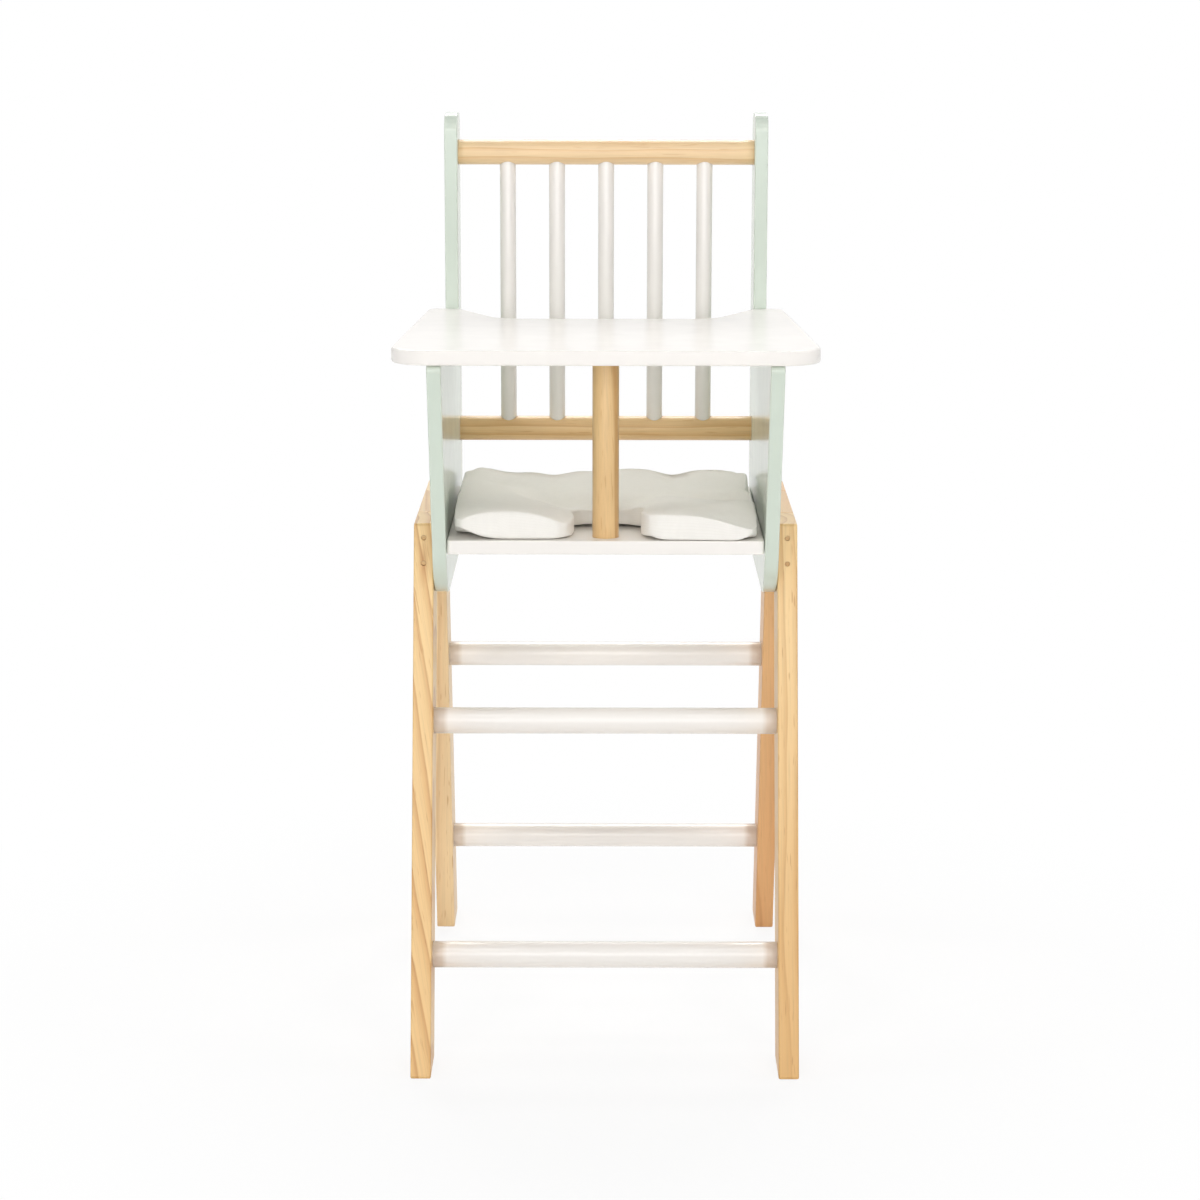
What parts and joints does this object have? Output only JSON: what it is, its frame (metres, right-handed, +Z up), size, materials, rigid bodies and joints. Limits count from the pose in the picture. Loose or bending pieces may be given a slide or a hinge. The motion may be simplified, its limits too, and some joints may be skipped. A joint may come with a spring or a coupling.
{
  "type": "doll high chair",
  "caption": "Wooden high chair for a doll, with leaning legs, slatted back, lift-off tray on a crotch post and a loose seat cushion.",
  "frame": {"origin": "on the floor, midway between the four feet", "axes": "+Z up, -Y is the front where the tray is, X across the chair"},
  "size_m": [0.2666, 0.3674, 0.5974],
  "materials": {
    "mint_paint": "satin mint green paint on board",
    "white_paint": "satin warm white paint on wood",
    "pine_board": "clear matt lacquer on pine",
    "pine_dowel": "clear matt lacquer on turned pine",
    "pin_wood": "end grain of small dowel pins",
    "cushion_cloth": "ivory woven cotton, soft filling",
    "zinc_screw": "zinc-plated countersunk screws"
  },
  "bodies": {
    "chair_frame": {"side_panel_left": "mint_paint", "front_leg_left": "pine_board", "rear_leg_left": "pine_board", "frame_rail_left": "pine_board", "side_panel_right": "mint_paint", "front_leg_right": "pine_board", "rear_leg_right": "pine_board", "frame_rail_right": "pine_board", "seat_board": "white_paint", "top_back_rail": "pine_dowel", "lower_back_rail": "pine_dowel", "front_upper_rung": "white_paint", "front_lower_rung": "white_paint", "rear_upper_rung": "white_paint", "rear_lower_rung": "white_paint", "back_spindle_1": "white_paint", "back_spindle_2": "white_paint", "back_spindle_3": "white_paint", "back_spindle_4": "white_paint", "back_spindle_5": "white_paint", "rung_screw_front_upper_left": "zinc_screw", "rung_screw_front_lower_left": "zinc_screw", "rung_screw_rear_upper_left": "zinc_screw", "rung_screw_rear_lower_left": "zinc_screw", "seat_screw_front_left": "zinc_screw", "seat_screw_rear_left": "zinc_screw", "rail_screw_top_left": "zinc_screw", "rail_screw_lower_left": "zinc_screw", "rung_screw_front_upper_right": "zinc_screw", "rung_screw_front_lower_right": "zinc_screw", "rung_screw_rear_upper_right": "zinc_screw", "rung_screw_rear_lower_right": "zinc_screw", "seat_screw_front_right": "zinc_screw", "seat_screw_rear_right": "zinc_screw", "rail_screw_top_right": "zinc_screw", "rail_screw_lower_right": "zinc_screw", "frame_pin_front_upper_left": "pin_wood", "frame_pin_front_lower_left": "pin_wood", "frame_pin_rear_upper_left": "pin_wood", "frame_pin_rear_lower_left": "pin_wood", "frame_pin_front_upper_right": "pin_wood", "frame_pin_front_lower_right": "pin_wood", "frame_pin_rear_upper_right": "pin_wood", "frame_pin_rear_lower_right": "pin_wood"},
    "lift_off_tray": {"tray": "white_paint", "crotch_post": "pine_dowel", "tray_peg_front_left": "pin_wood", "tray_peg_rear_left": "pin_wood", "tray_peg_front_right": "pin_wood", "tray_peg_rear_right": "pin_wood"},
    "loose_cushion": {"cushion": "cushion_cloth"}
  },
  "joints": [
    {"name": "tray_lift", "type": "slide", "parent": "chair_frame", "child": "lift_off_tray", "axis": [0, 0, 1], "range_m": [0, 0.14]},
    {"name": "cushion_lift", "type": "slide", "parent": "chair_frame", "child": "loose_cushion", "axis": [0, 0, 1], "range_m": [0, 0.08]}
  ]
}
